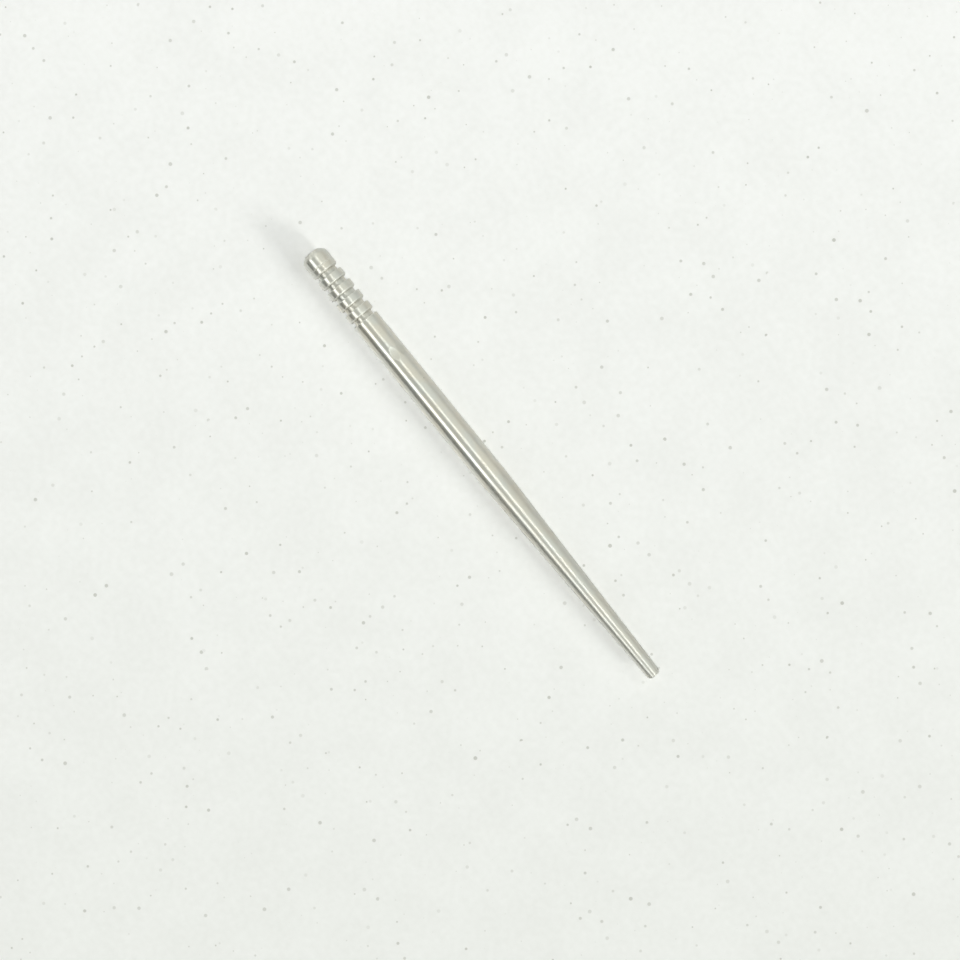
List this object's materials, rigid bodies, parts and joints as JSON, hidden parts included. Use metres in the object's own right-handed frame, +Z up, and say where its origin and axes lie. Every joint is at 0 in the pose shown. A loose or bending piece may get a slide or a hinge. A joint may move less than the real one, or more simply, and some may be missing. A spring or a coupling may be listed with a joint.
{
  "type": "carburettor jet needle",
  "caption": "Slim turned metering needle with clip grooves below its head, a straight shank and a long straight taper to a blunt tip.",
  "frame": {"origin": "centre of the flat face at the head end, on the needle's axis", "axes": "+X along the needle's axis from head to tip; +Z up with the needle lying on its side; the punch marks are on the upper side"},
  "size_m": [0.0487, 0.0024, 0.0024],
  "materials": {
    "needle_metal": "bright turned metal with fine tool marks round it and a slight warm tint"
  },
  "bodies": {
    "root": {"needle": "needle_metal"}
  },
  "joints": []
}
